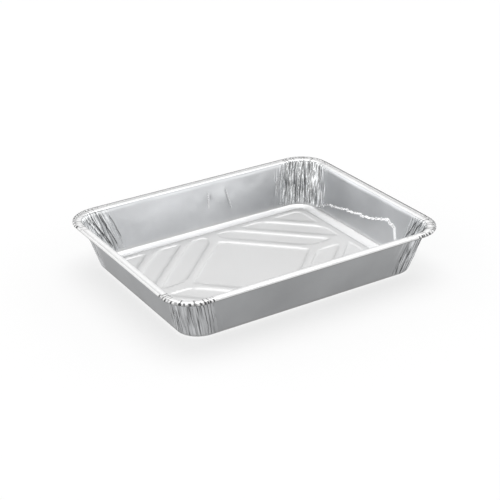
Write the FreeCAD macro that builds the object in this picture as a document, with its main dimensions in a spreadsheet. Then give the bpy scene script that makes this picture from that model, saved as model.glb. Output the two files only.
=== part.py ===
import FreeCAD, Part
import math
import os
import Sketcher

# Aluminium foil tray: one drawn sheet with a stepped, embossed floor, sloping
# walls, gathered corners and a flange that ends in a rolled edge.
# Millimetres, +Z up, origin at the centre of the foot, X along the long side.

doc = FreeCAD.newDocument("foil_tray")

# Driving sizes
SIZES = [
    ("tray_length", 320, "over the rolled edge, along X"),
    ("tray_width", 260, "over the rolled edge, along Y"),
    ("tray_height", 52, "foot to top of the rolled edge"),
    ("foil", 0.3, "sheet"),
    ("rim_overhang", 10, "top of the wall to the outside of the rolled edge"),
    ("rim_corner", 34, "corner radius of the rolled edge, outside"),
    ("curl_radius", 1.5, "rolled edge, outside"),
    ("curl_turn", 220, "degrees from the top of the roll to its cut edge"),
    ("flange_drop", 1.0, "top of the rolled edge down to the flange"),
    ("wall_lean", 13, "how far the wall spreads from foot to flange"),
    ("base_corner", 24, "corner radius of the foot, outside"),
    ("foot_round", 2, "round between foot and wall, outside"),
    ("foot_slope", 9, "sloping foot, from the wall in to the line it stands on"),
    ("foot_lift", 1.6, "corner of foot and wall above the table"),
    ("stand_width", 2, "flat line that the tray stands on"),
    ("panel_rise", 2.0, "raised panel above the line it stands on"),
    ("riser_lean", 45, "degrees that the panel's edge leans from upright"),
    ("pleats", 14, "gathers in each corner"),
    ("pleat_depth", 1.1, "crest to valley of the deepest gather"),
    ("pleat_start", 11, "height at which the gathers reach full depth"),
    ("pleat_end", 3, "below the flange, where they start to fade"),
    ("rib_first", 56, "centre of the pattern to the first diagonal rib"),
    ("rib_pitch", 30, "from one diagonal rib to the next"),
    ("rib_width", 7.5, "between the top edges of two neighbouring bands"),
    ("band_depth", 1.2, "sunk bands below the panel"),
    ("band_lean", 60, "degrees that the side of a band leans from upright"),
    ("band_margin", 4, "edge of the panel to the nearest ends of the bands"),
    ("land_x", 6, "half of the plain strip that runs along Y"),
    ("land_y", 7, "half of the plain strip that runs along X"),
    ("pattern_x", -3, "centre of the pattern"),
    ("pattern_y", -4, "centre of the pattern"),
]
sheet = doc.addObject("Spreadsheet::Sheet", "sizes")
for row, (name, value, meaning) in enumerate(SIZES, start=1):
    sheet.set("A%d" % row, name)
    sheet.set("B%d" % row, str(value))
    sheet.setAlias("B%d" % row, name)
    sheet.set("C%d" % row, meaning)
doc.recompute()

# Sizes that follow from the driving ones, as expressions on the sheet
FOOT_LENGTH = "(sizes.tray_length - 2 * sizes.rim_overhang - 2 * sizes.wall_lean)"
FOOT_WIDTH = "(sizes.tray_width - 2 * sizes.rim_overhang - 2 * sizes.wall_lean)"
PANEL_LENGTH = FOOT_LENGTH + " - 2 * (sizes.foot_slope + sizes.stand_width)"
PANEL_WIDTH = FOOT_WIDTH + " - 2 * (sizes.foot_slope + sizes.stand_width)"
PANEL_CORNER = "sizes.base_corner - sizes.foot_slope - sizes.stand_width"
REACH_X = "((%s) / 2 - sizes.band_margin - abs(sizes.pattern_x))" % PANEL_LENGTH
REACH_Y = "((%s) / 2 - sizes.band_margin - abs(sizes.pattern_y))" % PANEL_WIDTH
FLANGE_TOP = "(sizes.tray_height - sizes.flange_drop)"


def size(name):
    return float(getattr(sheet, name))


def worked_out(expression):
    """The number that an expression on the sheet gives."""
    return float(sheet.evalExpression(expression))


def drive(sketch, constraint, name, expression):
    """Add a dimension to a sketch and bind it to the sheet."""
    index = sketch.addConstraint(constraint)
    sketch.renameConstraint(index, name)
    sketch.setExpression("Constraints." + name, expression)


def rounded_rectangle(name, length, width, corner, height):
    """A sketch of a rectangle with round corners about the Z axis.

    Its first edge starts at the middle of the front side, where a section
    that is swept along the sketch stands.
    """
    a = worked_out(length) / 2
    b = worked_out(width) / 2
    r = worked_out(corner)
    sketch = doc.addObject("Sketcher::SketchObject", name)
    sketch.setExpression("Placement.Base.z", height)
    V = FreeCAD.Vector
    z = V(0, 0, 1)
    quarter = math.pi / 2
    edges = [
        Part.LineSegment(V(0, -b, 0), V(a - r, -b, 0)),
        Part.ArcOfCircle(Part.Circle(V(a - r, r - b, 0), z, r), -quarter, 0),
        Part.LineSegment(V(a, r - b, 0), V(a, b - r, 0)),
        Part.ArcOfCircle(Part.Circle(V(a - r, b - r, 0), z, r), 0, quarter),
        Part.LineSegment(V(a - r, b, 0), V(r - a, b, 0)),
        Part.ArcOfCircle(Part.Circle(V(r - a, b - r, 0), z, r), quarter, 2 * quarter),
        Part.LineSegment(V(-a, b - r, 0), V(-a, r - b, 0)),
        Part.ArcOfCircle(Part.Circle(V(r - a, r - b, 0), z, r), 2 * quarter, 3 * quarter),
        Part.LineSegment(V(r - a, -b, 0), V(0, -b, 0)),
    ]
    sketch.addGeometry(edges, False)
    start, end, origin = 1, 2, -1
    lines = (0, 2, 4, 6, 8)
    arcs = (1, 3, 5, 7)
    for arc in arcs:
        sketch.addConstraint(Sketcher.Constraint("Tangent", arc - 1, end, arc, start))
        sketch.addConstraint(Sketcher.Constraint("Tangent", arc, end, arc + 1, start))
    for arc in arcs[1:]:
        sketch.addConstraint(Sketcher.Constraint("Equal", arcs[0], arc))
    for line in (0, 4):
        sketch.addConstraint(Sketcher.Constraint("Horizontal", line))
    for line in (2, 6):
        sketch.addConstraint(Sketcher.Constraint("Vertical", line))
    sketch.addConstraint(Sketcher.Constraint("Coincident", lines[-1], end, 0, start))
    sketch.addConstraint(Sketcher.Constraint("Horizontal", lines[-1]))
    sketch.addConstraint(Sketcher.Constraint("PointOnObject", 0, start, -2))
    half_length = "(%s) / 2" % length
    half_width = "(%s) / 2" % width
    drive(sketch, Sketcher.Constraint("DistanceX", origin, 1, 2, start, a), "right", half_length)
    drive(sketch, Sketcher.Constraint("DistanceX", 6, end, origin, 1, a), "left", half_length)
    drive(sketch, Sketcher.Constraint("DistanceY", origin, 1, 4, start, b), "back", half_width)
    drive(sketch, Sketcher.Constraint("DistanceY", 0, end, origin, 1, b), "front", half_width)
    drive(sketch, Sketcher.Constraint("Radius", arcs[0], r), "corner", corner)
    return sketch


def polygon(sketch, corners, mark):
    """Add a closed outline whose corners are pairs of expressions."""
    points = [FreeCAD.Vector(worked_out(x), worked_out(y), 0) for x, y in corners]
    first = sketch.GeometryCount
    count = len(points)
    for i in range(count):
        sketch.addGeometry(Part.LineSegment(points[i], points[(i + 1) % count]), False)
    for i, (x, y) in enumerate(corners):
        this_edge = first + i
        last_edge = first + (i - 1) % count
        sketch.addConstraint(Sketcher.Constraint("Coincident", last_edge, 2, this_edge, 1))
        for axis, expression, at in (("X", x, points[i].x), ("Y", y, points[i].y)):
            constraint = Sketcher.Constraint("Distance" + axis, -1, 1, this_edge, 1, at)
            drive(sketch, constraint, "%s_%d_%s" % (mark, i, axis.lower()), expression)


def extrusion(name, base, height, lean, upward=True):
    """A straight-sided block on a sketch that narrows as it leaves it."""
    block = doc.addObject("Part::Extrusion", name)
    block.Base = base
    block.DirMode = "Custom"
    block.Dir = FreeCAD.Vector(0, 0, 1 if upward else -1)
    block.setExpression("LengthFwd", height)
    block.setExpression("TaperAngle", lean)
    block.Solid = True
    return block


def mirrored(name, source, normal):
    """Source and its mirror image across a plane through the Z axis."""
    image = doc.addObject("Part::Mirroring", name + "_image")
    image.Source = source
    image.Normal = normal
    both = doc.addObject("Part::Compound", name)
    both.Links = [source, image]
    return both


def band_corners(number):
    """The outline of one band in the pattern's first quarter.

    Bands lie side by side at 45 degrees between ribs, and their ends follow
    the plain strips along the axes and the margin beside the walls. The last
    one is a triangle, and there is none where both its sides would not fit.
    """
    near = "(sqrt(2) * (sizes.rib_first + %d * sizes.rib_pitch + sizes.rib_width / 2))" % number
    far = "(sqrt(2) * (sizes.rib_first + %d * sizes.rib_pitch - sizes.rib_width / 2))" % (number + 1)
    low_x, high_x = "sizes.land_x", REACH_X
    low_y, high_y = "sizes.land_y", REACH_Y
    n, f = worked_out(near), worked_out(far)
    x0, x1 = worked_out(low_x), worked_out(high_x)
    y0, y1 = worked_out(low_y), worked_out(high_y)
    side_width = size("band_depth") * math.tan(math.radians(size("band_lean")))
    smallest_triangle = side_width * (3 + math.sqrt(2))
    if x1 + y1 - n < smallest_triangle:
        return []
    corners = []
    if n - x1 > y0:
        corners.append((high_x, near + " - " + high_x))
    else:
        corners.append((near + " - " + low_y, low_y))
        corners.append((far + " - " + low_y if f - y0 < x1 else high_x, low_y))
    if y0 < f - x1 < y1:
        corners.append((high_x, far + " - " + high_x))
    if f < x1 + y1:
        corners.append((far + " - " + high_y, high_y))
    else:
        corners.append((high_x, high_y))
    if n - y1 > x0:
        corners.append((near + " - " + high_y, high_y))
    else:
        corners.append((low_x, high_y))
        corners.append((low_x, near + " - " + low_x))
    return corners


def floor_form(skin, drop):
    """The solid under one skin of the floor: raised panel less its bands."""
    ring_level = "sizes.foil - %s" % drop
    panel_level = ring_level + " + sizes.panel_rise"
    edge = rounded_rectangle(skin + "_panel_edge", PANEL_LENGTH, PANEL_WIDTH, PANEL_CORNER, ring_level)
    panel = extrusion(skin + "_panel", edge, "sizes.panel_rise", "-sizes.riser_lean")

    quarter_sketch = doc.addObject("Sketcher::SketchObject", skin + "_band_outlines")
    number = 0
    while band_corners(number):
        polygon(quarter_sketch, band_corners(number), "band%d" % number)
        number += 1
    quarter = extrusion(skin + "_bands", quarter_sketch, "sizes.band_depth", "-sizes.band_lean", upward=False)
    half = mirrored(skin + "_bands_half", quarter, FreeCAD.Vector(1, 0, 0))
    full = mirrored(skin + "_bands_full", half, FreeCAD.Vector(0, 1, 0))

    middle_sketch = doc.addObject("Sketcher::SketchObject", skin + "_middle_outline")
    tip = "sqrt(2) * (sizes.rib_first - sizes.rib_width / 2)"
    tips = [(tip, "0"), ("0", tip), ("-" + tip, "0"), ("0", "-" + tip)]
    polygon(middle_sketch, tips, "middle")
    middle = extrusion(skin + "_middle", middle_sketch, "sizes.band_depth", "-sizes.band_lean", upward=False)

    pattern = doc.addObject("Part::Compound", skin + "_pattern")
    pattern.Links = [full, middle]
    pattern.setExpression("Placement.Base.x", "sizes.pattern_x")
    pattern.setExpression("Placement.Base.y", "sizes.pattern_y")
    pattern.setExpression("Placement.Base.z", panel_level)

    form = doc.addObject("Part::Cut", skin + "_form")
    form.Base = panel
    form.Tool = pattern
    return form


def fold_share(corner, step, steps):
    """How much of its full depth a fold has: uneven, and less at the ends."""
    ends = min(1.0, 4 * math.sin(math.pi * step / steps) ** 2)
    uneven = 0.72 + 0.28 * math.sin(2.3 * step + 1.7 * corner)
    return ends * uneven


def wall_outline(spread, height, depth):
    """One closed outline of the wall, at a spread from the foot's outer edge.

    In the corners the sheet is gathered into folds that stand out and in by
    half of depth, by turns.
    """
    half_length = worked_out(FOOT_LENGTH) / 2 + spread
    half_width = worked_out(FOOT_WIDTH) / 2 + spread
    up_share = height / worked_out(FLANGE_TOP)
    wall_line = size("wall_lean") * up_share
    top_corner = size("rim_corner") - size("rim_overhang")
    radius = size("base_corner") * (1 - up_share) + top_corner * up_share + spread - wall_line
    steps = 2 * int(size("pleats"))
    points = []
    for corner, (side_x, side_y) in enumerate(((1, -1), (1, 1), (-1, 1), (-1, -1))):
        for step in range(steps + 1):
            angle = math.pi / 2 * (corner - 1 + step / steps)
            side = 1 if step % 2 else -1
            reach = radius + side * depth / 2 * fold_share(corner, step, steps)
            x = side_x * (half_length - radius) + reach * math.cos(angle)
            y = side_y * (half_width - radius) + reach * math.sin(angle)
            points.append(FreeCAD.Vector(x, y, height))
    return Part.makePolygon(points + points[:1])


def wall_levels(skin):
    """Spread, height and fold depth of each outline of one skin of the wall.

    skin is the depth in the sheet: nothing outside, the foil's own inside.
    """
    flange_top = worked_out(FLANGE_TOP)
    lean = math.atan2(size("wall_lean"), flange_top)
    corner_spread = size("foot_lift") * math.tan(lean)
    tilt = math.atan2(size("foot_lift"), size("foot_slope") + corner_spread)
    levels = [(-size("foot_slope") - skin * math.tan(tilt / 2), skin, 0)]

    # The round touches the sloping foot and the wall, and its centre lies on
    # the line that halves the angle between them
    turned = math.pi / 2 - lean - tilt
    to_centre = size("foot_round") / math.cos(turned / 2)
    halfway = tilt + turned / 2
    centre_spread = corner_spread - to_centre * math.sin(halfway)
    centre_height = size("foot_lift") + to_centre * math.cos(halfway)
    radius = size("foot_round") - skin
    round_steps = 2
    for step in range(round_steps + 1):
        turn = tilt + turned * step / round_steps
        spread = centre_spread + radius * math.sin(turn)
        height = centre_height - radius * math.cos(turn)
        levels.append((spread, height, 0))
    gathered = size("pleat_depth")
    fade = flange_top - size("pleat_end")
    for height, depth in ((size("pleat_start"), gathered), (fade, gathered), (flange_top, 0)):
        spread = height * math.tan(lean) - skin / math.cos(lean)
        levels.append((spread, height, depth))
    return levels


def loft(name, outlines):
    """A solid with straight faces from each outline to the next."""
    form = doc.addObject("Part::Feature", name)
    form.Shape = Part.makeLoft(outlines, True, True)
    return form


def open_faces(solid, height):
    """The faces of a solid, less the flat one that closes it at a height."""
    near = 1e-6

    def closes(face):
        return face.BoundBox.ZLength < near and abs(face.CenterOfMass.z - height) < near

    return [face for face in solid.Faces if not closes(face)]


def roll_corners(radius):
    """Corners of the roll's section on one skin, from the flange to the cut edge.

    The roll is drawn with a corner every 30 degrees, so that it meets its full
    height and width exactly.
    """
    rise = "(%s - sizes.flange_drop)" % radius
    corners = [("sqrt(%s ^ 2 - %s ^ 2)" % (radius, rise), rise)]
    facet = 30
    last_angle = 90 + size("curl_turn")
    angle = facet
    while angle < last_angle:
        corners.append(("%s * cos(%d)" % (radius, angle), "%s * sin(%d)" % (radius, angle)))
        angle += facet
    corners.append(("%s * cos(90 + sizes.curl_turn)" % radius, "%s * sin(90 + sizes.curl_turn)" % radius))
    return corners


def rim():
    """The flange and its rolled edge, one section swept round the tray."""
    path_length = "sizes.tray_length - 2 * sizes.curl_radius"
    path_width = "sizes.tray_width - 2 * sizes.curl_radius"
    path_corner = "sizes.rim_corner - sizes.curl_radius"
    level = "sizes.tray_height - sizes.curl_radius"
    path = rounded_rectangle("rim_path", path_length, path_width, path_corner, level)

    # The section stands on the front side, its x axis pointing in to the wall
    section = doc.addObject("Sketcher::SketchObject", "rim_section")
    x_in = FreeCAD.Vector(0, 1, 0)
    y_up = FreeCAD.Vector(0, 0, 1)
    section.Placement.Rotation = FreeCAD.Rotation(x_in, y_up, x_in.cross(y_up))
    section.setExpression("Placement.Base.y", "-(sizes.tray_width / 2 - sizes.curl_radius)")
    section.setExpression("Placement.Base.z", level)
    flange_end = "sizes.rim_overhang - sizes.curl_radius + sizes.foil / 2"
    flange_top = "sizes.curl_radius - sizes.flange_drop"
    outer_skin = [(flange_end, flange_top)]
    outer_skin += roll_corners("sizes.curl_radius")
    inner_skin = [(flange_end, flange_top + " - sizes.foil")]
    inner_skin += roll_corners("(sizes.curl_radius - sizes.foil)")
    polygon(section, outer_skin + inner_skin[::-1], "sheet")

    sweep = doc.addObject("Part::Sweep", "rim")
    sweep.Sections = [section]
    sweep.Spine = (path, [])
    sweep.Solid = True
    sweep.Frenet = False
    return sweep


def difference(name, base, tool):
    cut = doc.addObject("Part::Cut", name)
    cut.Base = base
    cut.Tool = tool
    return cut


outer_outlines = [wall_outline(*level) for level in wall_levels(0)]
inner_outlines = [wall_outline(*level) for level in wall_levels(size("foil"))]

# The collar is the last stretch of the wall, where the folds fade into the flange
collar_outside = loft("collar_outside", outer_outlines[-2:])
collar_inside = loft("collar_inside", inner_outlines[-2:])
collar = difference("collar", collar_outside, collar_inside)
collar_and_rim = doc.addObject("Part::Fuse", "collar_and_rim")
collar_and_rim.Base = collar
collar_and_rim.Tool = rim()

# Below it the pan's two skins: the wall's outlines, less the form of the floor
outer_pan = loft("outer_pan", outer_outlines[:-1])
inner_pan = loft("inner_pan", inner_outlines[:-1])
outside = difference("outside", outer_pan, floor_form("under", "sizes.foil"))
inside = difference("inside", inner_pan, floor_form("upper", "0"))
doc.recompute()

# The sheet lies between the skins, which meet the collar at its lower edge
joint = outer_outlines[-2].Vertexes[0].Z
faces = []
for piece in (outside, inside, collar_and_rim):
    faces += open_faces(piece.Shape, joint)
tray = doc.addObject("Part::Feature", "tray")
sheet_skin = Part.Shell(faces)
sheet_skin.sewShape()
tray.Shape = Part.Solid(sheet_skin)
tray.Label = "tray"
doc.recompute()

# Nothing is written unless every feature has worked
for item in doc.Objects:
    if {"Invalid", "Error"} & set(item.State):
        raise RuntimeError("%s has failed: %s" % (item.Name, item.State))
if tray.Shape.isNull() or not tray.Shape.isValid() or len(tray.Shape.Solids) != 1:
    raise RuntimeError("the tray is not one sound solid")

os.makedirs("parts", exist_ok=True)
tray.Shape.exportStep("parts/%s.step" % tray.Label)
box = tray.Shape.BoundBox
print("tray %.1f x %.1f x %.1f mm" % (box.XLength, box.YLength, box.ZLength))
print("sheet %.0f mm3 in %d faces" % (tray.Shape.Volume, len(tray.Shape.Faces)))
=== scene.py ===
# %% [markdown]
# # An aluminium foil tray
#
# This lesson dresses one solid, a foil tray, as a real tray looks: one thin
# sheet, drawn into a pan, gathered in its corners, embossed on its floor and
# rolled over at its rim. The solid model is the frame: it gives the size and
# the place of everything here, and the new mesh takes its place in view.

# %% Load the solid model and note its size
import math
from collections import namedtuple

import bmesh
import bpy
from mathutils import Matrix, Vector, noise


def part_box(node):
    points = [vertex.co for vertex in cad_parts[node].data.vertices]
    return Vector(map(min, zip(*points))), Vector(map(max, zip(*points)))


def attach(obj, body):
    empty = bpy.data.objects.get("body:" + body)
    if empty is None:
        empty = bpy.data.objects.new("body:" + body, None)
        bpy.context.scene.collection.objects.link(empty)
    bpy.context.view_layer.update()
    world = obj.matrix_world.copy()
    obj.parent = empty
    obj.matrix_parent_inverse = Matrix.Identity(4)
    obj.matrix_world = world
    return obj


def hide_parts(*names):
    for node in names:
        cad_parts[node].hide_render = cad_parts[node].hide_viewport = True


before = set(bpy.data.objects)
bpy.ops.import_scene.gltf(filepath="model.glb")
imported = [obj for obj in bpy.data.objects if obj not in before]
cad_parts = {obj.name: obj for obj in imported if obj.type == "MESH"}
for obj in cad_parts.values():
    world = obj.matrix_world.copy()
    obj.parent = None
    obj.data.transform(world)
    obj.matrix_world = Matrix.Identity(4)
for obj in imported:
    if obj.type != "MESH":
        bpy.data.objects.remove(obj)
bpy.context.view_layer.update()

tray_low, tray_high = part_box("tray")
print("solid tray, lowest and highest corner:", tuple(tray_low), tuple(tray_high))

# %% [markdown]
# ## The sizes of the sheet
#
# Everything is in metres. The overall size is read from the solid, and the
# smaller sizes are those of a real tray: a flange about 7 mm wide, a roll
# 3 mm thick, walls that spread 13 mm on their way up.

# %% Name the sizes
MM = 0.001
half_length = tray_high.x
half_width = tray_high.y
tray_height = tray_high.z

sheet = 0.3 * MM
roll_radius = 1.5 * MM
rim_overhang = 10 * MM
flange_drop = 1.0 * MM
wall_lean = 13 * MM
base_corner = 24 * MM
foot_slope = 9 * MM
stand_width = 2 * MM
foot_lift = 1.6 * MM
panel_rise = 2.0 * MM
riser_width = 2.0 * MM

flange_top = tray_height - flange_drop
foot_length = half_length - rim_overhang - wall_lean
foot_width = half_width - rim_overhang - wall_lean
lean = math.atan2(wall_lean, flange_top)
print("half foot:", round(foot_length, 4), round(foot_width, 4))

# %% [markdown]
# ## Stations round the sheet
#
# The sheet is grown ring by ring, and every ring has the same number of
# points. A point's station says where it stands: at some share of the turn
# round a corner, or of the way along a side. The points stand close together
# round the corners, where the foil is gathered, and wide apart elsewhere.

# %% Lay out the stations
CORNER_POINTS = 42
CORNER_SIGNS = ((1, -1), (1, 1), (-1, 1), (-1, -1))
close_step = 1.1 * MM
wide_step = 3.3 * MM
gathered_side = 22 * MM
side_lengths = [2 * (half - base_corner) for half in (foot_width, foot_length)]


def side_shares(length):
    """Shares of the way along a side, close together near its two corners."""
    close_count = round(gathered_side / close_step)
    wide_count = round((length - 2 * gathered_side) / wide_step)
    places = [close_step * step for step in range(close_count)]
    start, end = close_step * close_count, length - close_step * close_count
    places += [start + (end - start) * step / wide_count for step in range(wide_count)]
    places += [end + close_step * step for step in range(close_count)]
    return [place / length for place in places]


stations = []
for corner in range(4):
    for step in range(CORNER_POINTS):
        stations.append(("corner", corner, step / CORNER_POINTS))
    for share in side_shares(side_lengths[corner % 2]):
        stations.append(("side", corner, share))
print("points in each ring:", len(stations))


def corner_centre(corner, spread, radius):
    """The middle that a corner of some radius turns about."""
    sign_x, sign_y = CORNER_SIGNS[corner]
    past_x, past_y = foot_length + spread - radius, foot_width + spread - radius
    return Vector((sign_x * past_x, sign_y * past_y))


def stand_at(station, spread):
    """The place of a station, at a spread from the foot."""
    kind, corner, share = station
    radius = base_corner + min(spread, 0.0) + max(spread - wall_lean, 0.0)
    angle = math.pi / 2 * (corner - 1 + share if kind == "corner" else corner)
    outward = Vector((math.cos(angle), math.sin(angle)))
    start = corner_centre(corner, spread, radius) + outward * radius
    if kind == "corner":
        return start
    return start.lerp(corner_centre((corner + 1) % 4, spread, radius) + outward * radius, share)


# %% [markdown]
# ## The section of the sheet
#
# Cut through one side, the sheet steps down from the raised floor panel to
# the line that the tray stands on, slopes up gently to the wall, climbs it,
# turns out into the flange and ends in the roll. Each entry of the section
# is a spread from the foot and a height, on the upper skin of the foil.

# %% Draw the section
def arc(centre, radius, first, last, steps):
    """Points on an arc in the section, with angles in degrees."""
    points = []
    for step in range(steps + 1):
        angle = math.radians(first + (last - first) * step / steps)
        points.append((centre[0] + radius * math.cos(angle), centre[1] + radius * math.sin(angle)))
    return points


WALL_RINGS = 18
wall_from = 3.3 * MM
wall_to = flange_top - 1.7 * MM
stand_out = -foot_slope - stand_width

section = [
    (stand_out - riser_width, panel_rise + sheet),
    (stand_out - 0.8 * riser_width, 0.93 * panel_rise + sheet),
    (stand_out - 0.15 * riser_width, 0.18 * panel_rise + sheet),
    (stand_out + 0.3 * MM, sheet),
    (stand_out + 1.0 * MM, sheet),
    (-foot_slope - 0.4 * MM, sheet),
    (-0.55 * foot_slope, 0.42 * foot_lift + sheet),
    (-0.10 * foot_slope, 0.87 * foot_lift + sheet),
    (-0.35 * MM, foot_lift + 0.25 * MM),
    (0.05 * MM, foot_lift + 0.5 * MM),
    (0.32 * MM, foot_lift + 0.95 * MM),
]
for ring in range(WALL_RINGS + 1):
    height = wall_from + (wall_to - wall_from) * ring / WALL_RINGS
    section.append((height * math.tan(lean) - sheet, height))
turn_radius = 1.3 * MM
turn_centre = (wall_lean - sheet + turn_radius, flange_top - turn_radius)
section += arc(turn_centre, turn_radius, 150, 90, 2)
section.append((wall_lean + 3.6 * MM, flange_top + 0.1 * MM))
roll_centre = (wall_lean + rim_overhang - roll_radius, tray_height - roll_radius)
section.append((roll_centre[0] - roll_radius - 0.5 * MM, flange_top - 0.05 * MM))
section += arc(roll_centre, roll_radius, 205, -75, 11)
print("rings in the section:", len(section))

# %% [markdown]
# ## Growing the sheet
#
# The sheet starts as one filled circle. Its rim is pulled onto the outline of
# the floor panel, and then each next ring is extruded from the last and moved
# to its own place on the section. A layer of whole numbers keeps each point's
# station, and every extruded point inherits it. A second layer keeps the
# number of its ring.

# %% Grow the rings from the panel to the roll
tray_mesh = bmesh.new()
station_layer = tray_mesh.verts.layers.int.new("station")
ring_layer = tray_mesh.verts.layers.float.new("ring")
bmesh.ops.create_circle(tray_mesh, cap_ends=True, segments=len(stations), radius=half_width)
for index, vert in enumerate(tray_mesh.verts):
    vert[station_layer] = index


def place_ring(verts, entry):
    """Moves the points of one ring to their stations, at one entry of the section."""
    spread, height = section[entry]
    for vert in verts:
        vert.co = stand_at(stations[vert[station_layer]], spread).to_3d()
        vert.co.z = height
        vert[ring_layer] = entry


place_ring(tray_mesh.verts, 0)
panel_face = tray_mesh.faces[:][0]
ring_edges = list(panel_face.edges)
for entry in range(1, len(section)):
    grown = bmesh.ops.extrude_edge_only(tray_mesh, edges=ring_edges)["geom"]
    place_ring([item for item in grown if isinstance(item, bmesh.types.BMVert)], entry)
    ring_edges = [item for item in grown if isinstance(item, bmesh.types.BMEdge)
                  and len(item.link_faces) == 1]
print("faces grown:", len(tray_mesh.faces))

# %% [markdown]
# ## The embossed floor
#
# A plain floor of foil would drum and bend, so the real one is pressed with
# sunk bands. A large diamond lies in the middle, and bands run at 45 degrees
# round it in each quarter, with plain strips between them. The panel is one
# flat face so far, so it is cut along the lines of the pattern first, with
# close cuts where the foil bends and wide ones where it is flat.

# %% Name the pattern's sizes
pattern_centre = Vector((-3 * MM, -4 * MM))
rib_distances = (56 * MM, 86 * MM, 116 * MM)
rib_half = 3.75 * MM
flank = 1.3 * MM
band_depth = 0.6 * MM
band_round = 7 * MM
strip_x = 6 * MM
strip_y = 7 * MM
reach_right, reach_left = 120 * MM, 119 * MM
reach_back, reach_front = 91 * MM, 88 * MM


def smooth(value, low, high):
    """A soft step from 0 at low to 1 at high."""
    share = min(1.0, max(0.0, (value - low) / (high - low)))
    return share * share * (3 - 2 * share)


def cut_panel(faces, point, direction):
    """Cuts the faces along an upright plane and returns them with the new ones."""
    edges = {edge for face in faces for edge in face.edges}
    verts = {vert for face in faces for vert in face.verts}
    cut = bmesh.ops.bisect_plane(
        tray_mesh, geom=list(faces) + list(edges) + list(verts), dist=1e-7,
        plane_co=(point.x, point.y, 0), plane_no=(direction.x, direction.y, 0))
    return [item for item in cut["geom"] if isinstance(item, bmesh.types.BMFace)]


def spaced(start, end, step):
    """Even places between two marks, without the marks themselves."""
    count = max(1, round((end - start) / step))
    return [start + (end - start) * number / count for number in range(1, count)]


# %% Cut the panel along the diagonals
flat_step = 4.4 * MM
marks = [0.0]
for distance in rib_distances:
    for flank_start in (distance - rib_half, distance + rib_half + flank):
        marks += [flank_start - share * flank for share in (1, 0.7, 0.35, 0)]
places = sorted(marks)
for start, end in zip(places[:-1], places[1:]):
    if end - start > 1.5 * flat_step:
        marks += spaced(start, end, flat_step)
marks += [places[-1] + flat_step * number for number in range(1, 10)]

panel_faces = [panel_face]
for direction in (Vector((1, 1)).normalized(), Vector((1, -1)).normalized()):
    for mark in sorted(marks):
        for side in (1, -1) if mark else (1,):
            panel_faces = cut_panel(panel_faces, pattern_centre + direction * mark * side, direction)
print("faces of the panel:", len(panel_faces))

# %% [markdown]
# The ends of the bands are round, so the panel gets a few more cuts there,
# across the faces that lie near those ends and nowhere else.

# %% Cut the ends of the bands
end_cuts = [0.0, 0.9 * MM, 1.8 * MM, 2.7 * MM]
along_x, along_y = Vector((1, 0)), Vector((0, 1))
end_lines = []
for step in end_cuts:
    for axis, places in (
            (along_x, (reach_right - step, step - reach_left)),
            (along_y, (reach_back - step, step - reach_front)),
            (along_x, (strip_x + step, -strip_x - step)),
            (along_y, (strip_y + step, -strip_y - step))):
        end_lines += [(axis * place, axis) for place in places]
for offset, direction in end_lines:
    point = pattern_centre + offset
    near = [face for face in panel_faces
            if abs((face.calc_center_median().to_2d() - point).dot(direction)) < 3 * MM]
    if near:
        far = set(panel_faces) - set(near)
        panel_faces = list(far) + cut_panel(near, point, direction)
print("faces of the panel:", len(panel_faces))


# %% [markdown]
# Each point of the panel then sinks by its distance inside the nearest band.
# The distance is rounded where two edges meet, which gives the bands their
# round corners.

# %% Sink the bands
def inside(distances):
    """Distance inside a shape with rounded corners, from the distances to its sides."""
    if min(distances) < 0:
        return min(distances)
    return band_round - math.sqrt(sum(max(band_round - distance, 0) ** 2 for distance in distances))


def depth_in_bands(x, y):
    right, back = x - pattern_centre.x, y - pattern_centre.y
    along, across = abs(right), abs(back)
    diagonal = (along + across) / math.sqrt(2)
    other = (along - across) / math.sqrt(2)
    diamond = rib_distances[0] - rib_half
    best = inside((diamond - diagonal, diamond - abs(other), diamond + diagonal))
    end_x = reach_right if right > 0 else reach_left
    end_y = reach_back if back > 0 else reach_front
    for number, rib in enumerate(rib_distances):
        near = rib + rib_half
        far = rib_distances[number + 1] - rib_half if number < 2 else 2 * near
        distances = (diagonal - near, far - diagonal, along - strip_x, across - strip_y,
                     end_x - along, end_y - across)
        best = max(best, inside(distances))
    return band_depth * smooth(best, 0, flank)


panel_verts = {vert for face in panel_faces for vert in face.verts}
for vert in panel_verts:
    if abs(vert.co.z - panel_rise - sheet) < 0.01 * MM:
        vert.co.z -= depth_in_bands(vert.co.x, vert.co.y)
print("points of the panel:", len(panel_verts))

# %% [markdown]
# ## Gathers in the corners
#
# A flat sheet has too much foil for a round corner, and the spare foil is
# pressed into folds that run up the wall. They could be drawn one by one, but
# pressed foil breaks into long narrow facets where two sets of folds cross at
# a small angle. So two zigzags are added up here, each slanted a little and
# pushed about by noise, and the crossing of their sharp crests gives the
# facets. Narrow grooves and a few long folds are added to them. The points of
# the wall stand close enough for this only after the edges that run round the
# corners are divided once more. The edges that run up the wall are left, as
# the folds change slowly that way.

# %% Find a point's place along its corner
half_arc = base_corner * math.pi / 4
corner_reach = (42 * MM, 44 * MM, 42 * MM, 31 * MM)


def along_corner(x, y, z):
    """The distance from the middle of the nearest corner, and the outward direction."""
    spread = min(wall_lean, max(0.0, z * math.tan(lean)))
    past_x = abs(x) - (foot_length + spread - base_corner)
    past_y = abs(y) - (foot_width + spread - base_corner)
    sign_x, sign_y = math.copysign(1, x), math.copysign(1, y)
    if past_x > 0 and past_y > 0:
        angle = math.atan2(past_y, past_x)
        outward = Vector((sign_x * math.cos(angle), sign_y * math.sin(angle), 0))
        return half_arc * (angle / (math.pi / 4) - 1), outward
    if past_x > past_y:
        return past_y - half_arc, Vector((sign_x, 0, 0))
    return half_arc - past_x, Vector((0, sign_y, 0))


# %% Divide the faces of the corners once more
def corner_at(x, y):
    """The number of the nearest corner."""
    return CORNER_SIGNS.index((math.copysign(1, x), math.copysign(1, y)))


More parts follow.
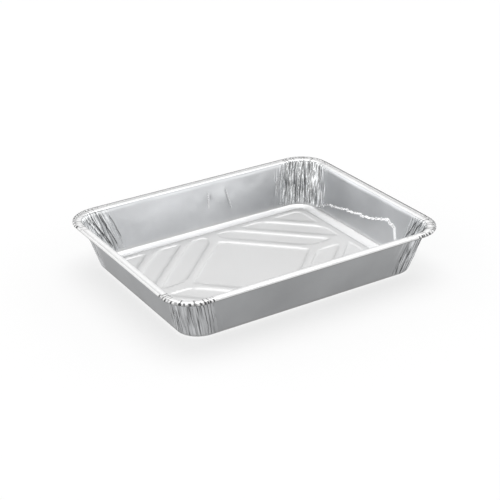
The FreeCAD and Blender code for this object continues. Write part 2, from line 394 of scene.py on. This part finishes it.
def near_corner(face):
    x, y, z = face.calc_center_median()
    reach = corner_reach[corner_at(x, y)] - 3 * MM
    return wall_from < z < wall_to and abs(along_corner(x, y, z)[0]) < reach


def on_one_ring(edge):
    start, end = edge.verts
    return abs(start[ring_layer] - end[ring_layer]) < 0.01


def divide(faces, edge_test=None):
    """Divides the edges of some faces in two, or only the edges that pass a test."""
    edges = {edge for face in faces for edge in face.edges if edge_test is None or edge_test(edge)}
    bmesh.ops.subdivide_edges(tray_mesh, edges=list(edges), cuts=1, use_grid_fill=True)


roll_corner = 42 * MM


def on_rolled_corner(face):
    x, y, z = face.calc_center_median()
    past_x, past_y = abs(x) - (half_length - roll_corner), abs(y) - (half_width - roll_corner)
    return past_x > 0 and past_y > 0 and math.hypot(past_x, past_y) > roll_corner - 3.2 * MM


divide([face for face in tray_mesh.faces if near_corner(face)], on_one_ring)
divide([face for face in tray_mesh.faces if on_rolled_corner(face)], on_one_ring)
print("faces with divided corners:", len(tray_mesh.faces))


# %% Fold the foil
def zigzag(value):
    """A wave of straight runs between -1 and 1, with a period of 1."""
    return 4 * abs(value % 1 - 0.5) - 1


def reach_at(corner, distance, height):
    """1 in the corner and 0 away from it, with a ragged border."""
    ragged = 9 * MM * noise.noise(Vector((distance / (3 * MM), height / (26 * MM), 4.4 * corner)))
    return 1 - smooth(abs(distance) + ragged, 17 * MM, corner_reach[corner])


def groove(value):
    """Narrow grooves with a period of 1, from 0 to 1."""
    return max(0.0, 1 - abs(value % 1 - 0.5) / 0.2)


# Each corner's depth of facets and depth of grooves, in the order of CORNER_SIGNS; below, each corner's
# painted brightness of its gathers
corner_styles = ((0.7, 0.6), (1.0, 0.5), (0.30, 0.5), (0.32, 0.9))
painted_corner_brightness = (0.06, 0.30, 0.20, 0.0)


def gather_at(corner, distance, height):
    """How far the folds push the sheet out at one point, and how deep its grooves are."""
    facets, grooves = corner_styles[corner]
    seed = 17.3 * corner
    warp = noise.noise(Vector((distance / (8 * MM), height / (45 * MM), seed)))
    warp += 0.35 * noise.noise(Vector((distance / (7 * MM), height / (8 * MM), seed + 2)))
    other_warp = noise.noise(Vector((distance / (6 * MM), height / (18 * MM), seed + 5)))
    patch = noise.noise(Vector((distance / (5 * MM), height / (18 * MM), seed + 9)))
    broad = zigzag((distance + 0.02 * height + 2.4 * MM * warp) / (3.9 * MM))
    narrow = zigzag((distance - 0.04 * height + 1.6 * MM * other_warp) / (2.4 * MM))
    broken = zigzag(height / (17 * MM) + 2.6 * noise.noise(Vector((distance / (2.6 * MM), seed, 1))))
    folds = 0.80 * broad + (0.60 + 0.6 * patch) * narrow + 0.45 * broken
    thin = groove((distance + 2.2 * MM * warp) / (3.6 * MM)) * smooth(patch + 0.3 * other_warp, -0.25, 0.15)
    rise = 0.5 + 0.5 * smooth(height, 2 * MM, 26 * MM)
    return facets * folds * MM * rise, grooves * thin


# %% Add a few long folds
# Each fold's corner and depth, then its heights with the distance along the corner, in mm
long_folds = [
    (2, 1.1, [(9, 27.6), (18, 26.9), (28, 25.2), (36, 22.9), (46, 21.6), (49, 21.9)]),
    (2, 0.8, [(30, 25.6), (36, 24.6), (42, 23.6), (49, 22.9)]),
    (2, 0.7, [(16, 35.6), (27, 34.5), (36, 33.9), (45, 31.7)]),
    (2, 1.0, [(8, 22.0), (20, 19.5), (34, 14.5), (49, 11.0)]),
    (2, 1.0, [(12, 19.0), (26, 16.0), (38, 12.0), (49, 6.0)]),
    (2, 0.9, [(20, 14.0), (34, 9.0), (49, 2.0)]),
    (0, 0.9, [(22, -31.0), (34, -27.5), (48, -24.0)]),
    (0, 0.9, [(20, -24.0), (34, -21.0), (48, -17.0)]),
    (0, 1.0, [(2, 24.0), (14, 26.0), (26, 28.0)]),
]


def at_height(line, height):
    """The place of a line of points at a height, or None above and below it."""
    for (low, first), (high, last) in zip(line[:-1], line[1:]):
        if low <= height <= high:
            return first + (last - first) * (height - low) / (high - low)
    return None


def long_fold_at(corner, distance, height):
    """How deep the long folds of a corner are at one point, from 0 to about 1."""
    deepest = 0.0
    for owner, depth, line in long_folds:
        place = at_height(line, height / MM) if owner == corner else None
        if place is not None:
            bottom, top = line[0][0], line[-1][0]
            ends = smooth(height / MM, bottom, bottom + 5) * (1 - smooth(height / MM, top - 3, top))
            deepest = max(deepest, depth * ends * max(0.0, 1 - abs(distance / MM - place) / 0.8))
    return deepest


# %% [markdown]
# ## Dents and creases
#
# Thin foil keeps every knock. One long jagged crease runs across the inside
# of the right wall: the sheet steps inwards just below it and comes back
# slowly further down. The back wall has a few short marks and a soft hollow
# between them, and all walls are a little uneven. A crease is a line of
# points here, each with its place along the wall and its height.

# %% Draw the long crease
long_crease = [(-67, 9), (-64, 19), (-59, 28), (-53, 31), (-45, 33.5), (-25, 27.3), (-7, 23),
               (3, 22.7), (21, 19.8), (30, 18.9), (45, 16.2), (62, 13.3), (75, 7.2), (84, 4.5)]


def line_height(line, place):
    """Height of a line of points at a place between its ends."""
    for (start, low), (end, high) in zip(line[:-1], line[1:]):
        if start <= place <= end:
            return low + (high - low) * (place - start) / (end - start)
    return -100.0


def below_crease(x, y, z):
    """Distance in mm below the jagged crease of the right wall, or a large one away from it."""
    if x < foot_length - MM or not -66 * MM < y < 83 * MM:
        return -100.0
    jag = 1.5 * noise.noise(Vector((y / (2.2 * MM), 0, 0)))
    jag += 1.6 * noise.noise(Vector((y / (6 * MM), 5, 0)))
    return line_height(long_crease, y / MM) + jag - z / MM


# %% Draw the marks of the back wall
# Each mark's heights with its places along the wall, in mm
# The bright marks push the wall out a little and get a painted highlight; the dark ones push it in and get
# painted shade.
back_marks_painted_bright = [[(21, 10.7), (24, 11.0), (38, 12.5), (42, 12.8)],
               [(14, 40.0), (17, 39.0), (36, 36.3), (41, 35.8)]]
back_marks_painted_dark = [[(18, 37.4), (24, 36.6), (37, 34.4), (43, 34.0)], [(30, 14.5), (40, 14.8)]]


def mark_at(x, z, marks):
    """How strong the marks of the back wall are at one point, from 0 to 1."""
    strongest = 0.0
    for line in marks:
        place = at_height(line, z / MM)
        if place is not None:
            bottom, top = line[0][0], line[-1][0]
            ends = smooth(z / MM, bottom, bottom + 5) * (1 - smooth(z / MM, top - 5, top))
            strongest = max(strongest, ends * max(0.0, 1 - abs(x / MM - place) / 1.0))
    return strongest


# %% [markdown]
# The step of a crease stays sharp only where the points stand close, so the
# two walls are divided where they are creased, and once more near the lines.

# %% Divide the creased walls
def creased(face):
    x, y, z = face.calc_center_median()
    if not 3 * MM < z < 42 * MM:
        return False
    on_right = x > foot_length - MM and -77 * MM < y < 84 * MM
    on_back = y > foot_width - MM and -6 * MM < x < 54 * MM
    return on_right or on_back


def near_mark(face):
    x, y, z = face.calc_center_median()
    return y > foot_width - MM and (8 * MM < x < 18 * MM or 31 * MM < x < 43 * MM)


def near_crease(face):
    return abs(below_crease(*face.calc_center_median())) < 4


divide([face for face in tray_mesh.faces if creased(face) and not near_corner(face)])
divide([face for face in tray_mesh.faces if creased(face) and near_mark(face)])
divide([face for face in tray_mesh.faces if creased(face) and near_crease(face)])
print("faces with divided creases:", len(tray_mesh.faces))


# %% Dent the walls
crease_step = 1.5 * MM
star_y, star_z = -44.7 * MM, 33.4 * MM


def hollow_at(x, z):
    """How deep the soft hollow of the back wall is at one point, from 0 to 1."""
    across = smooth(x, 13 * MM, 30 * MM) * (1 - smooth(x, 33 * MM, 37 * MM))
    return across * math.sin(math.pi * smooth(z, 12 * MM, 46 * MM))


def dent_at(x, y, z):
    """How far a wall is pushed inwards at one point."""
    spot = Vector((x, y, z))
    dent = 0.34 * MM * noise.noise(spot / (34 * MM)) + 0.12 * MM * noise.noise(spot / (11 * MM))
    below = below_crease(x, y, z)
    dent += crease_step * smooth(below, -0.5, 0.7) * (1 - 0.4 * smooth(below, 3, 20))
    if x > foot_length - MM:
        from_star = math.hypot(y - star_y, z - star_z)
        dent -= 0.7 * MM * max(0.0, 1 - from_star / (2.6 * MM))
    if y > foot_width - MM:
        dent += 0.5 * MM * mark_at(x, z, back_marks_painted_dark) - 0.2 * MM * mark_at(x, z, back_marks_painted_bright)
        dent += 0.45 * MM * hollow_at(x, z)
    return dent


# %% [markdown]
# ## Shaping every point
#
# The folds, the dents and the crimps of the rolled rim are put on the sheet
# here, point by point. Five values stay on the points as layers, and the
# finish reads them as attributes: how gathered the foil is, a painted streak
# of light and shade that runs up the folds, a painted highlight on the foot
# and on the crests of creases, what belongs to the rim, and painted shade
# along the bends, marks, folds, grooves and crimps.

# %% Crimp the roll
rim_corner_radius = 34 * MM
crimp_step = 4.6 * MM


def crimp_at(x, y):
    """How far the roll is pinched at one point of the rim, from 0 to 1."""
    past_x = abs(x) - (half_length - rim_corner_radius)
    past_y = abs(y) - (half_width - rim_corner_radius)
    if past_x < -6 * MM or past_y < -6 * MM:
        return 0.0
    angle = math.atan2(max(past_y, 0), max(past_x, 0))
    along = angle * rim_corner_radius + min(past_x, 0) - min(past_y, 0)
    along += 3.2 * MM * noise.noise(Vector((x / (9 * MM), y / (9 * MM), 2)))
    strength = 1.0 + 1.2 * noise.noise(Vector((x / (4 * MM), y / (4 * MM), 7)))
    return min(1.0, max(0.0, strength)) * smooth(1 - abs(along / crimp_step % 1 - 0.5) / 0.30, 0, 0.5)


# %% Paint shade on the sharp bends
roll_start = rim_overhang - 2 * roll_radius
first_roll = len(section) - 12
away_from_camera = Vector((0.513, 0.858, 0))
# Painted shade of each ring of the roll, from its start to its free edge, on the near and the far sides of
# the rim; on the far sides it is also a painted dark reflection along the roll.
near_painted_shades = (0.45, 0.15, 0, 0, 0, 0, 0.1, 0.1, 0.25, 0.75, 1, 1)
far_painted_shades = (0.45, 0.15, 0, 0.35, 0.9, 1, 1, 0.9, 0.8, 0.8, 1, 1)


def painted_bend_shade_at(ring, far_side):
    """How dark the painted shade along the sharp bends of the section is, by ring; on the far sides the
    roll also gets a painted dark reflection.
    """
    if ring < first_roll:
        return 0.35 * max(0.0, 1 - abs(ring - 3)) + 0.2 * max(0.0, 1 - abs(ring - first_roll + 1))
    low = min(int(ring - first_roll), 10)
    share = ring - first_roll - low
    shades = [near + (far - near) * far_side for near, far in zip(near_painted_shades, far_painted_shades)]
    return shades[low] + (shades[low + 1] - shades[low]) * share


def far_side_at(x, y, outward):
    """1 on the far sides of the rim and 0 on the near ones, and less in its corners."""
    past_both = min(abs(x) - half_length, abs(y) - half_width) + rim_corner_radius
    in_corner = smooth(past_both, -4 * MM, 4 * MM)
    return smooth(outward.dot(away_from_camera), -0.2, 0.3) * (1 - 0.35 * in_corner)


# %% Find where every point lies
Spot = namedtuple("Spot", "corner distance outward climb beyond gathered fold folds thin crimp")
layers = tray_mesh.verts.layers.float
painted_streak_layer, gather_layer = layers.new("painted_streak"), layers.new("gather")
painted_highlight_layer, rim_layer, painted_shade_layer = layers.new("foot"), layers.new("rim"), layers.new("line")


def past_wall(x, y):
    """How far a point lies outside the line where the wall meets the flange."""
    centre = corner_centre(1, wall_lean, base_corner)
    return math.hypot(max(abs(x) - centre.x, 0), max(abs(y) - centre.y, 0)) - base_corner


def spot_of(vert):
    """Where a point lies on the sheet, and what folds and crimps it there."""
    x, y, z = vert.co
    corner = corner_at(x, y)
    distance, outward = along_corner(x, y, z)
    climb = smooth(z, 1.9 * MM, 4.5 * MM)
    beyond = past_wall(x, y)
    gathered = reach_at(corner, distance, z) * climb
    fold = long_fold_at(corner, distance, z) * climb
    folds, thin = gather_at(corner, distance, z)
    crimp = crimp_at(x, y) * smooth(beyond, roll_start, roll_start + MM)
    return Spot(corner, distance, outward, climb, beyond, gathered, fold, folds, thin, crimp)


def off_panel(vert):
    panel_edge = stand_out - 0.6 * riser_width
    return abs(vert.co.x) > foot_length + panel_edge or abs(vert.co.y) > foot_width + panel_edge


spots = {vert: spot_of(vert) for vert in tray_mesh.verts if off_panel(vert)}
print("points off the panel:", len(spots))


# %% Keep the values for the finish
def painted_crease_highlight_at(x, y, z, climb):
    """How strong the painted highlight on the crest of a crease is at one point."""
    if y > foot_width - MM:
        return mark_at(x, z, back_marks_painted_bright)
    return math.exp(-(below_crease(x, y, z) - 0.1) ** 2 / 0.7) * climb


def painted_line_shade_at(vert, spot):
    """How dark the painted shade along the bends, marks, folds, grooves and crimps is at one point."""
    x, y, z = vert.co
    painted_bend = painted_mark_shade = 0.0
    if z < 2 * MM or spot.beyond > 0:
        painted_bend = painted_bend_shade_at(vert[ring_layer], far_side_at(x, y, spot.outward))
    if y > foot_width - MM:
        painted_mark_shade = 0.35 * mark_at(x, z, back_marks_painted_dark)
    painted_groove_shade = 0.9 * min(1, 2 * spot.thin) * spot.gathered
    return max(painted_bend, painted_mark_shade, min(1, 1.6 * spot.fold), painted_groove_shade, spot.crimp)


# Painted light and shade: the streak gives the gathers lighter and darker streaks, each corner's gathers
# are painted brighter by its own amount, and grooves and long folds are painted darker. The foot band and
# the crests of creases get painted highlights, and the line values are painted shade.
for vert, spot in spots.items():
    x, y, z = vert.co
    place = Vector((spot.distance / (1.25 * MM), z / (24 * MM), 3.7 * spot.corner))
    painted_streak = 1.2 * corner_styles[spot.corner][0] * noise.noise(place)
    shade = 1.2 * painted_streak - 0.3 * spot.thin + painted_corner_brightness[spot.corner]
    vert[painted_streak_layer] = shade * spot.gathered - 0.5 * spot.fold
    vert[gather_layer] = max(spot.gathered * (1 - 0.9 * smooth(spot.beyond, 0, MM)), spot.fold)
    vert[painted_highlight_layer] = max(1 - smooth(z, 2.0 * MM, 2.9 * MM), 0.9 * painted_crease_highlight_at(x, y, z, spot.climb))
    vert[rim_layer] = smooth(spot.beyond, 0.2 * MM, 1.2 * MM)
    vert[painted_shade_layer] = painted_line_shade_at(vert, spot)
print("points gathered:", sum(1 for vert in spots if vert[gather_layer] > 0.05))

# %% Move the points
groove_depth = 0.6 * MM
long_fold_depth = 0.9 * MM
crimp_depth = 0.45 * MM
for vert, spot in spots.items():
    x, y, z = vert.co
    on_wall = 1 - max(smooth(z, wall_to, flange_top), smooth(spot.beyond, 0, 1.5 * MM))
    push = (spot.folds - groove_depth * spot.thin) * spot.gathered * (0.12 + 0.88 * on_wall)
    push -= (dent_at(x, y, z) * spot.climb + long_fold_depth * spot.fold) * on_wall
    if spot.beyond > roll_start - MM:
        push = min(push, 0.0) - crimp_depth * spot.crimp
    vert.co += spot.outward * push
print("deepest crimp of the roll:", round(max(spot.crimp for spot in spots.values()), 2))

# %% [markdown]
# ## From one skin to a sheet
#
# The mesh is the upper skin of the foil. A Solidify modifier gives it the
# thickness of foil downwards and closes the free edge of the roll.

# %% Finish the mesh
bmesh.ops.remove_doubles(tray_mesh, verts=tray_mesh.verts, dist=1e-6)
bmesh.ops.recalc_face_normals(tray_mesh, faces=tray_mesh.faces)
tray_mesh.faces.ensure_lookup_table()
floor_face = min(tray_mesh.faces, key=lambda face: face.calc_center_median().to_2d().length)
if floor_face.normal.z < 0:
    bmesh.ops.reverse_faces(tray_mesh, faces=tray_mesh.faces)
for face in tray_mesh.faces:
    face.smooth = True
mesh = bpy.data.meshes.new("foil_tray")
tray_mesh.to_mesh(mesh)
tray_mesh.free()
tray = bpy.data.objects.new("foil_tray", mesh)
bpy.context.collection.objects.link(tray)
thickness = tray.modifiers.new("sheet", "SOLIDIFY")
thickness.thickness = sheet
thickness.offset = -1
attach(tray, "root")
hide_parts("tray")
print("triangles of one skin:", sum(len(face.vertices) - 2 for face in mesh.polygons))


# %% [markdown]
# ## A way to write finishes
#
# A finish is a set of shader nodes. Two small classes keep it readable: one
# adds a node, and the other lets sums and products of its outputs be written
# as plain expressions, each of which adds a Math node.

# %% Define the classes for finishes
class Signal:
    """One output of a shader node."""

    def __init__(self, finish, output):
        self.finish, self.output = finish, output

    def maths(self, operation, first, second):
        return self.finish.node("ShaderNodeMath", {"operation": operation}, {0: first, 1: second})

    def __add__(self, other):
        return self.maths("ADD", self, other)

    def __radd__(self, other):
        return self.maths("ADD", other, self)

    def __sub__(self, other):
        return self.maths("SUBTRACT", self, other)

    def __rsub__(self, other):
        return self.maths("SUBTRACT", other, self)

    def __mul__(self, other):
        return self.maths("MULTIPLY", self, other)

    def __rmul__(self, other):
        return self.maths("MULTIPLY", other, self)


class Finish:
    """The nodes of one material or world."""

    def __init__(self, owner):
        owner.use_nodes = True
        self.owner, self.tree = owner, owner.node_tree
        self.tree.nodes.clear()

    def node(self, kind, settings=None, inputs=None, output=0):
        made = self.tree.nodes.new(kind)
        for name, value in (settings or {}).items():
            if name == "stops":
                for stop, (position, colour) in zip(made.color_ramp.elements, value):
                    stop.position, stop.color = position, colour
            else:
                setattr(made, name, value)
        for key, value in (inputs or {}).items():
            if isinstance(value, Signal):
                self.tree.links.new(value.output, made.inputs[key])
            else:
                made.inputs[key].default_value = value
        return Signal(self, made.outputs[output]) if made.outputs else made


# %% [markdown]
# ## The foil
#
# Rolled aluminium is a satin mirror: fully metallic, a little rough, with a
# fine grain along the rolling direction and a soft unevenness where hands and
# the press have touched it. The grain and the unevenness are bump, and the
# roughness varies slowly over the sheet. The attributes of the points paint
# light and shade into the colour: lighter and darker streaks in the gathers,
# painted highlights on the foot, the rim and the crests of creases, and
# painted shade along the bends. One side of real foil is bright and the other
# dull, so two finishes are made by one function, and Solidify gives the
# second one to the lower skin. The lower skin is also painted about half as
# bright, which is painted shade on the outer walls.

# %% Make the foil finish
def grey(value):
    return (value, value, value, 1)


def tint(value):
    """The slightly blue grey of aluminium."""
    return (value, min(1, 1.015 * value), min(1, 1.035 * value), 1)


def foil_finish(name, shine, wall_roughness):
    """Satin foil with a matt pressed floor, smoother gathers with painted light and shade, painted
    highlights on the foot, rim and creases, painted shade on the bends, and a bump of grain and ripple.
    """
    foil = Finish(bpy.data.materials.new(name))
    place = foil.node("ShaderNodeTexCoord", output="Object")
    level = foil.node("ShaderNodeSeparateXYZ", None, {0: place}, output="Z")
    gather, painted_streak, foot, rim, line = (
        foil.node("ShaderNodeAttribute", {"attribute_name": layer}, output="Fac")
        for layer in ("gather", "painted_streak", "foot", "rim", "line"))
    floor_part = foil.node("ShaderNodeMapRange", {"interpolation_type": "SMOOTHSTEP"}, {
        "Value": level, "From Min": 6 * MM, "From Max": 3 * MM})
    along_grain = foil.node("ShaderNodeMapping", None, {"Vector": place, "Scale": (1, 9, 1)})
    grain = foil.node("ShaderNodeTexNoise", None, {"Vector": along_grain, "Scale": 260, "Detail": 3})
    ripple = foil.node("ShaderNodeTexNoise", None, {"Vector": place, "Scale": 22, "Detail": 1})
    cloud = foil.node("ShaderNodeTexNoise", None, {"Vector": place, "Scale": 16, "Detail": 4})
    roughness = wall_roughness + 0.10 * cloud + 0.22 * floor_part - 0.14 * foot + 0.22 * rim - 0.15 * gather
    bump = foil.node("ShaderNodeBump", None, {
        "Height": 0.2 * grain + ripple, "Distance": 0.0004, "Strength": 0.35})
    # Painted light and shade: the streak picks a colour in the gathers from a darker foil grey up to a near
    # white.
    tone = foil.node("ShaderNodeMapRange", None, {"Value": painted_streak, "From Min": -0.35, "From Max": 0.35})
    painted_fold_shading = foil.node("ShaderNodeValToRGB", {"stops": (
        (0.0, tint(0.50 * shine)), (1.0, tint(min(0.98, 1.9 * shine))))}, {"Fac": tone})

    def blend(factor, first, second):
        return foil.node("ShaderNodeMix", {"data_type": "RGBA"}, {0: factor, 6: first, 7: second}, output=2)

    mottled = foil.node("ShaderNodeMapRange", None, {"Value": cloud, "From Min": 0.3, "From Max": 0.7})
    colour = blend(mottled, tint(0.90 * shine), tint(1.08 * shine))
    colour = blend(floor_part, colour, grey(0.96 * shine))
    colour = blend(gather, colour, painted_fold_shading)
    # Painted highlight: the flange and the roll are painted a near white grey.
    colour = blend(rim, colour, grey(0.90))
    # Painted highlight: the foot band and the crests of the creases are painted near white.
    colour = blend(foot, colour, grey(0.98))
    # Painted shade: the line attribute paints the bends, the underside of the roll, marks, folds, grooves
    # and crimps nearly black, and on the far sides of the rim it is a painted dark reflection along the
    # roll.
    colour = blend(line, colour, tint(0.08))
    metal = foil.node("ShaderNodeBsdfPrincipled", None, {
        "Base Color": colour, "Metallic": 1, "Roughness": roughness, "Normal": bump})
    foil.node("ShaderNodeOutputMaterial", None, {"Surface": metal})
    tray.data.materials.append(foil.owner)
    print("nodes in", name + ":", len(foil.tree.nodes))


foil_finish("bright_foil", 0.74, 0.27)
# The lower skin's foil is painted about half as bright as the upper one, which is painted shade on the
# outer walls; its higher roughness is the real dull side of the foil.
foil_finish("dull_foil_painted_darker", 0.365, 0.34)
thickness.material_offset = 1

# %% [markdown]
# ## The table and the light
#
# The tray stands on a plain white table. A share of white glow is mixed into
# the table for what the camera and the metal see of it, so that it looks
# white and keeps a soft shadow, and its light on the tray stays plain. Metal
# shows what surrounds it, so the light is a broad soft sky, a little brighter
# above and behind, with a bright panel on either side and one wide lamp.

# %% Make the floor
floor_mesh = bmesh.new()
bmesh.ops.create_grid(floor_mesh, x_segments=2, y_segments=2, size=4)
floor_data = bpy.data.meshes.new("floor")
floor_mesh.to_mesh(floor_data)
floor_mesh.free()
floor = bpy.data.objects.new("floor", floor_data)
bpy.context.collection.objects.link(floor)
paper = Finish(bpy.data.materials.new("white_table"))
matt = paper.node("ShaderNodeBsdfDiffuse", None, {"Color": grey(0.94)})
white = paper.node("ShaderNodeEmission", None, {"Color": grey(1), "Strength": 1})
by_camera = paper.node("ShaderNodeLightPath", output="Is Camera Ray")
by_metal = paper.node("ShaderNodeLightPath", output="Is Glossy Ray")
by_glass = paper.node("ShaderNodeLightPath", output="Is Transmission Ray")
seen = by_camera + by_metal + by_glass
surface = paper.node("ShaderNodeMixShader", None, {0: 0.7 * seen, 1: matt, 2: white})
paper.node("ShaderNodeOutputMaterial", None, {"Surface": surface})
floor_data.materials.append(paper.owner)

# %% Light the sky
right_of_camera = Vector((0.858, -0.513, 0))
sky = Finish(bpy.data.worlds.new("studio"))
bpy.context.scene.world = sky.owner
direction = sky.node("ShaderNodeTexCoord", output="Generated")
height = sky.node("ShaderNodeSeparateXYZ", None, {0: direction}, output="Z")
behind = sky.node("ShaderNodeVectorMath", {"operation": "DOT_PRODUCT"}, {
    0: direction, 1: away_from_camera}, output="Value")
beside = sky.node("ShaderNodeVectorMath", {"operation": "DOT_PRODUCT"}, {
    0: direction, 1: right_of_camera}, output="Value")
beside = sky.node("ShaderNodeMath", {"operation": "ABSOLUTE"}, {0: beside})
panels = sky.node("ShaderNodeMapRange", {"interpolation_type": "SMOOTHSTEP"}, {
    "Value": beside, "From Min": 0.30, "From Max": 0.55})
above = sky.node("ShaderNodeMapRange", {"interpolation_type": "SMOOTHSTEP"}, {
    "Value": height, "From Min": 0.0, "From Max": 0.08})
high = sky.node("ShaderNodeMapRange", {"interpolation_type": "SMOOTHSTEP"}, {
    "Value": height, "From Min": 0.45, "From Max": 0.75})
glow = 0.38 + 0.10 * height + 0.12 * behind + 0.9 * panels * above * (1 - high)
sky_light = sky.node("ShaderNodeBackground", None, {"Color": grey(1), "Strength": glow})
sky.node("ShaderNodeOutputWorld", None, {"Surface": sky_light})

# %% Hang the lamp
lamp_data = bpy.data.lights.new("soft_lamp", "SUN")
lamp_data.angle = math.radians(56)
lamp_data.energy = 1.40
lamp = bpy.data.objects.new("soft_lamp", lamp_data)
lamp_height, lamp_side = math.radians(72), math.radians(52)
flat_reach = math.cos(lamp_height)
towards_lamp = Vector((
    math.cos(lamp_side) * flat_reach, math.sin(lamp_side) * flat_reach, math.sin(lamp_height)))
lamp.location = towards_lamp * 2
lamp.rotation_euler = (-towards_lamp).to_track_quat("-Z", "Y").to_euler()
bpy.context.collection.objects.link(lamp)

# %% [markdown]
# ## The camera
#
# The camera stands in front of a corner of the tray, 26 degrees up, about
# 1.3 m away, with a long lens and a slight roll.

# %% Place the camera
azimuth, elevation, roll = (math.radians(angle) for angle in (-30.86, 25.94, -1.57))
lens_pixels = 1252.4
distance = 1.34142
aim_pixels = Vector((253.21, 265.31))

flat_reach = math.cos(elevation)
back = Vector((math.sin(azimuth) * flat_reach, -math.cos(azimuth) * flat_reach, math.sin(elevation)))
level = Vector((math.cos(azimuth), math.sin(azimuth), 0))
upright = level.cross(-back)
right = math.cos(roll) * level + math.sin(roll) * upright
up = -math.sin(roll) * level + math.cos(roll) * upright
aside = (aim_pixels - Vector((250, 250))) * distance / lens_pixels
camera_data = bpy.data.cameras.new("camera")
camera_data.sensor_width = 36
camera_data.lens = lens_pixels / 500 * 36
camera_data.clip_start = 0.05
camera_data.clip_end = 50
camera = bpy.data.objects.new("camera", camera_data)
bpy.context.collection.objects.link(camera)
camera.matrix_world = Matrix((right, up, back)).transposed().to_4x4()
camera.location = back * distance - right * aside.x + up * aside.y
bpy.context.scene.camera = camera
bpy.context.scene.view_settings.view_transform = "Standard"
print("lens in mm:", round(camera_data.lens, 2))
